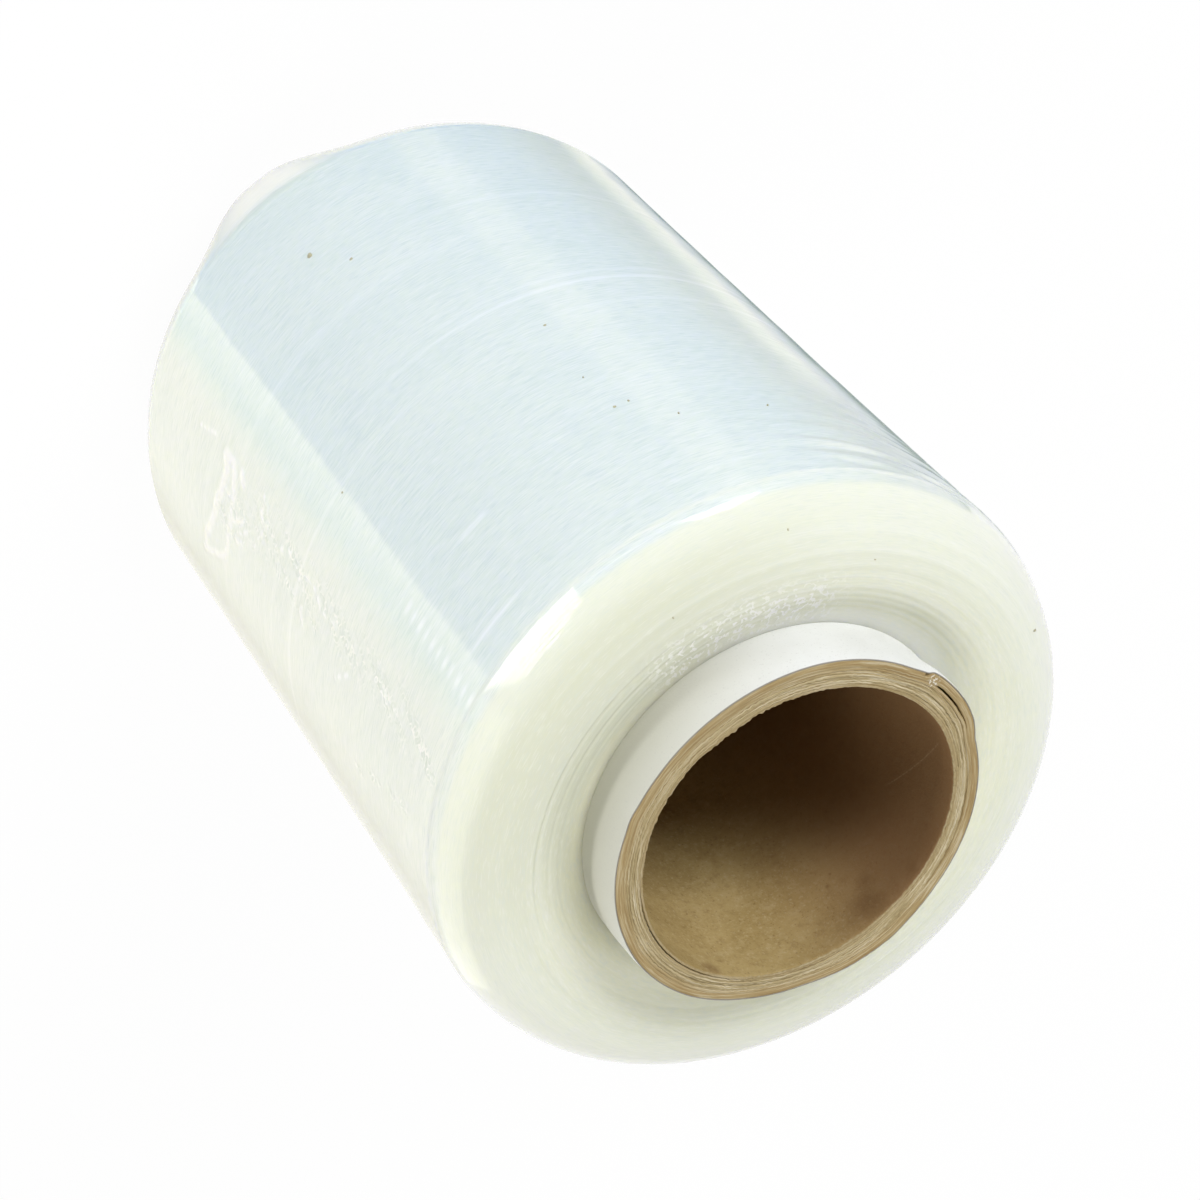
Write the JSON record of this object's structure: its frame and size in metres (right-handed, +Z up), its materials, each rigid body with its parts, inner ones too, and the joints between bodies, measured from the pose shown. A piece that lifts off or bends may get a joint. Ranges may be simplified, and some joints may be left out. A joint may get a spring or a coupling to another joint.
{
  "type": "stretch wrap roll",
  "caption": "Hand roll of clear stretch film wound on a short paper core with a white outer ply, the core's ends standing out past the film.",
  "frame": {"origin": "centre of the lower end of the core, on the surface that the roll stands on", "axes": "+Z up the axis of the roll, +X and +Y across it, with the split in the core's rim towards -X"},
  "size_m": [0.077, 0.077, 0.114],
  "materials": {
    "kraft_paper": "matte spirally wound kraft board with cut ply edges",
    "white_paper": "matte white paper with faint smudges",
    "stretch_film": "glossy milky wound film, pale green towards the core"
  },
  "bodies": {
    "root": {"core_tube": "kraft_paper", "white_ply": "white_paper", "film_roll": "stretch_film"}
  },
  "joints": []
}
